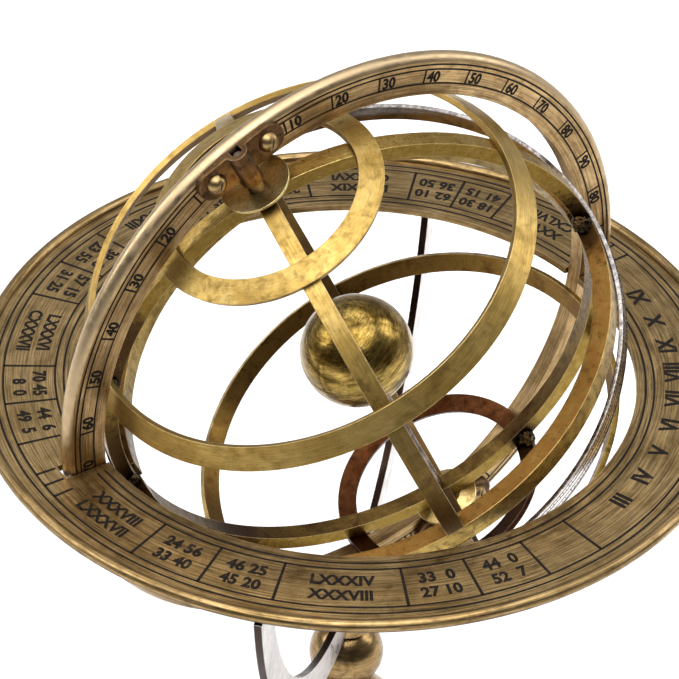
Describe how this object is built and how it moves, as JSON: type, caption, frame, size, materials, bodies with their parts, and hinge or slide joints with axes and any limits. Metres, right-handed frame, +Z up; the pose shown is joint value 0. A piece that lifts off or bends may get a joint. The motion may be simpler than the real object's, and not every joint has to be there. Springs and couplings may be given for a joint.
{
  "type": "armillary sphere",
  "caption": "Brass armillary sphere: graduated meridian and horizon rings round a turning cage of great circles and bands, on two arms and a turned pedestal.",
  "frame": {"origin": "centre of the base's underside, on the surface the stand rests on", "axes": "+Z up; the meridian ring lies in the XZ plane with its numbered face towards -Y; the north pole leans towards -X"},
  "size_m": [0.254, 0.254, 0.349],
  "materials": {
    "horizon_brass": "antique satin brass, worn bright on the edges",
    "meridian_brass": "antique satin brass, worn bright on the edges",
    "ring_brass": "antique satin brass, worn bright on the edges",
    "equator_brass": "antique satin brass, worn bright on the edges",
    "band_brass": "antique satin brass, worn bright on the edges",
    "ecliptic_brass": "antique satin brass, worn bright on the edges",
    "ball_brass": "antique satin brass, worn bright on the edges",
    "dish_brass": "antique satin brass, worn bright on the edges",
    "clamp_brass": "antique satin brass, worn bright on the edges",
    "screw_brass": "antique satin brass, worn bright on the edges",
    "arm_brass": "antique satin brass, worn bright on the edges",
    "column_brass": "antique satin brass, worn bright on the edges",
    "base_brass": "antique satin brass, worn bright on the edges",
    "steel": "dull turned steel",
    "felt": "dark green felt"
  },
  "bodies": {
    "stand": {"felt_pad": "felt", "base_disc": "base_brass", "base_nut": "steel", "stand_stud": "steel", "column_foot": "column_brass", "column_vase": "column_brass", "column_collar": "column_brass", "column_knob": "column_brass", "cradle_hub": "column_brass", "arm_back": "arm_brass", "arm_front": "arm_brass", "horizon_ring": "horizon_brass"},
    "meridian": {"meridian_ring": "meridian_brass", "north_clamp": "clamp_brass", "south_clamp": "clamp_brass", "clamp_screws": "screw_brass"},
    "sphere": {"axis_rod": "steel", "ball": "ball_brass", "north_dish": "dish_brass", "south_dish": "dish_brass", "pole_bushings": "steel", "colure_equinoctial": "ring_brass", "colure_solstitial": "ring_brass", "equator_ring": "equator_brass", "polar_circle_north": "band_brass", "tropic_north": "band_brass", "ecliptic_band": "ecliptic_brass", "tropic_south": "band_brass", "polar_circle_south": "band_brass"}
  },
  "joints": [
    {"name": "meridian_tilt", "type": "hinge", "parent": "stand", "child": "meridian", "pos_m": [0, 0, 0.24], "axis": [0, 1, 0], "range_deg": [-45, 95]},
    {"name": "sphere_spin", "type": "hinge", "parent": "meridian", "child": "sphere", "pos_m": [0, -0.0006, 0.24], "axis": [-0.4384, 0, 0.8988], "continuous": true}
  ]
}
